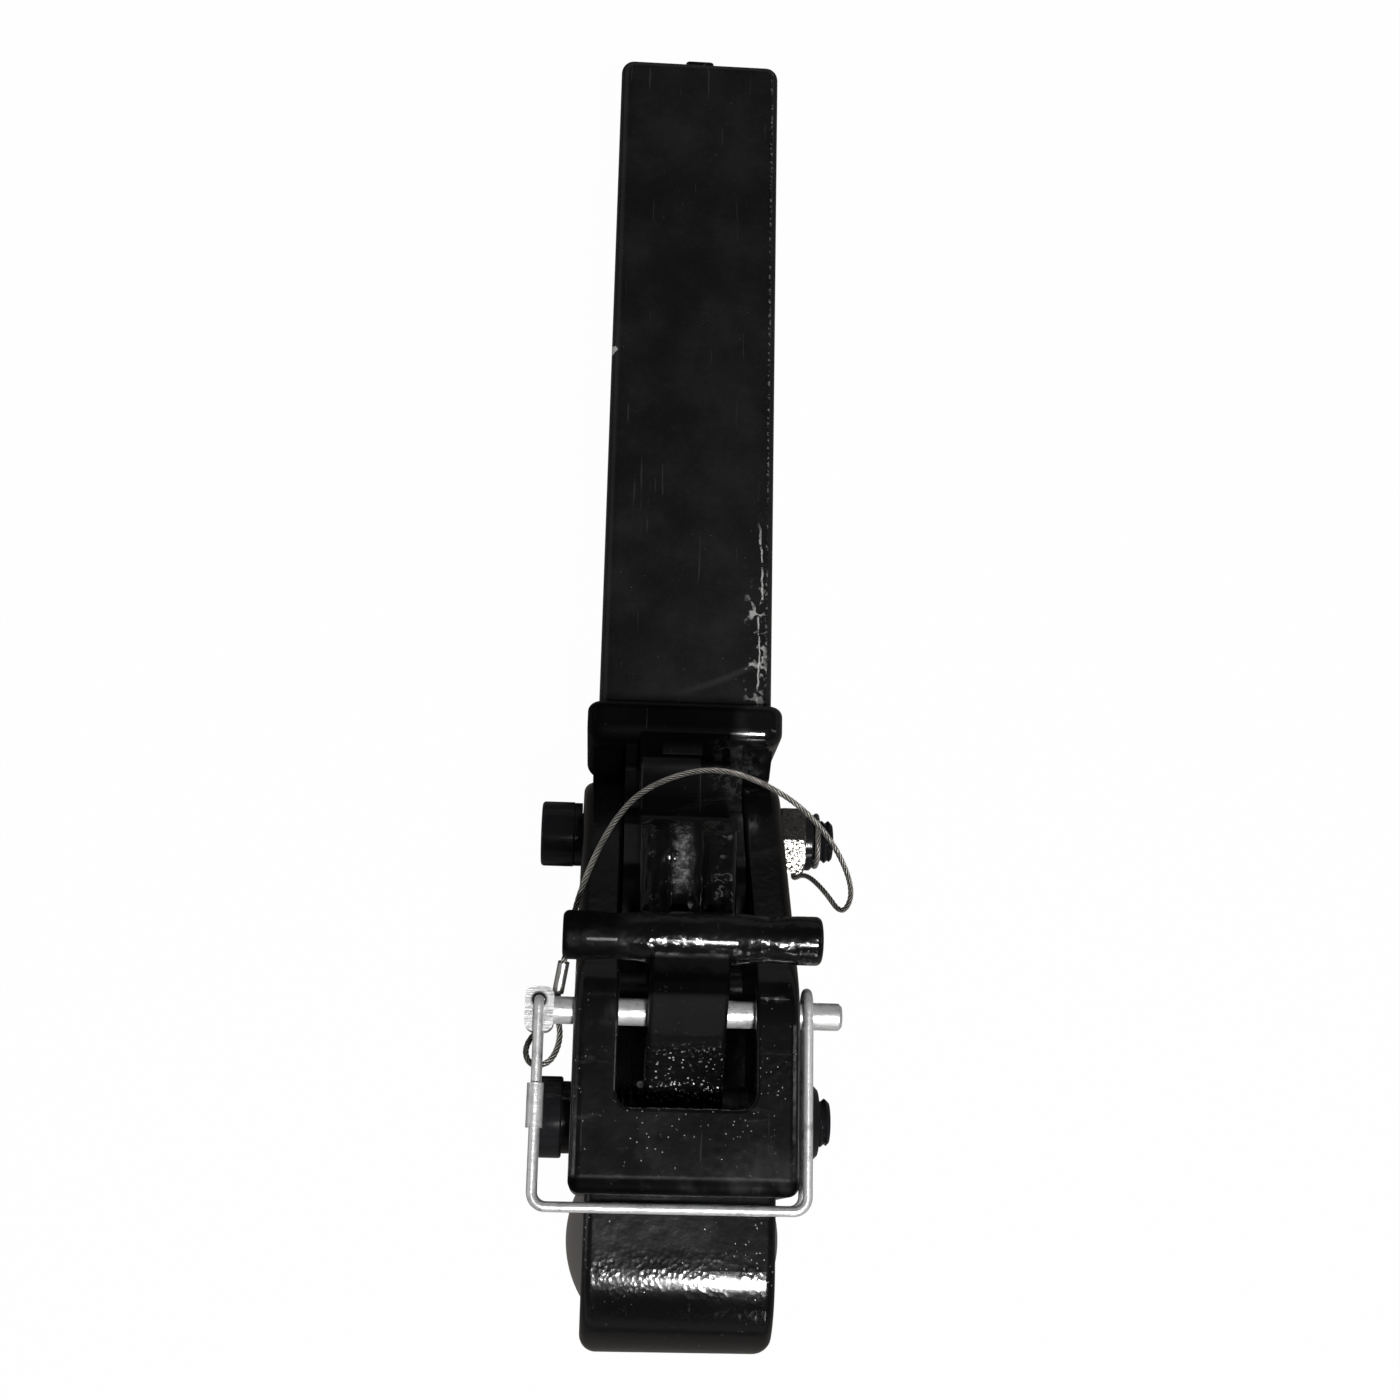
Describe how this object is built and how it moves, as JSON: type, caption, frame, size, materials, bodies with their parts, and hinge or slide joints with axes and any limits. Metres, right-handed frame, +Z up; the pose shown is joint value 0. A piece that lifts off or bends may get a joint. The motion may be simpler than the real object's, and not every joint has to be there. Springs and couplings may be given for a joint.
{
  "type": "pintle hook and tow ball",
  "caption": "Forged pintle hook with a tow ball on a solid square shank, with a hinged jaw, T-handle latch, safety pin with wire bail, and cable lanyard.",
  "frame": {"origin": "centre of the hitch-pin hole, on the shank's axis", "axes": "+Y to the rear along the shank, +Z up along the ball's axis, +X to the right along the hitch-pin hole; the hook points to -Y"},
  "size_m": [0.0925, 0.3982, 0.1635],
  "materials": {
    "black_forging": "thick gloss-black paint over a rough forging",
    "black_hardware": "black oxide, lightly oiled",
    "chrome_ball": "polished chrome plate",
    "zinc": "bright zinc plate",
    "spring_steel": "phosphated spring steel",
    "bronze": "plain bronze bush",
    "cable": "twisted galvanised steel strand",
    "aluminium": "pressed aluminium ferrule"
  },
  "bodies": {
    "hitch": {"hitch_body": "black_forging", "tow_ball": "chrome_ball", "ball_washer": "zinc", "ball_nut": "zinc", "web_bush_left": "bronze", "web_bush_right": "bronze", "jaw_pivot_bolt": "black_hardware", "jaw_pivot_washer": "black_hardware", "jaw_pivot_nut": "black_hardware", "jaw_nut_collar": "black_hardware", "lanyard": "cable", "lanyard_ferrule_bolt": "aluminium"},
    "jaw": {"upper_jaw": "black_forging", "latch_pivot_bolt": "black_hardware", "latch_pivot_washer": "black_hardware", "latch_pivot_cap": "black_hardware", "latch_spacer": "spring_steel", "latch_spring": "spring_steel", "lanyard_ferrule_pin": "aluminium"},
    "latch": {"latch": "black_forging"},
    "pin": {"safety_pin": "zinc", "bail_wire": "zinc", "bail_sleeve": "zinc"}
  },
  "joints": [
    {"name": "jaw_open", "type": "hinge", "parent": "hitch", "child": "jaw", "pos_m": [0, -0.1891, 0.0086], "axis": [-1, 0, 0], "range_deg": [0, 70], "deforming": ["lanyard"]},
    {"name": "latch_lift", "type": "hinge", "parent": "jaw", "child": "latch", "pos_m": [0, -0.272, 0.048], "axis": [1, 0, 0], "range_deg": [0, 20], "stiffness_Nm_per_rad": 1.5, "springref_deg": -17.19},
    {"name": "pin_turn", "type": "hinge", "parent": "jaw", "child": "pin", "pos_m": [0, -0.2458, 0.066], "axis": [-1, 0, 0], "range_deg": [0, 60]}
  ]
}
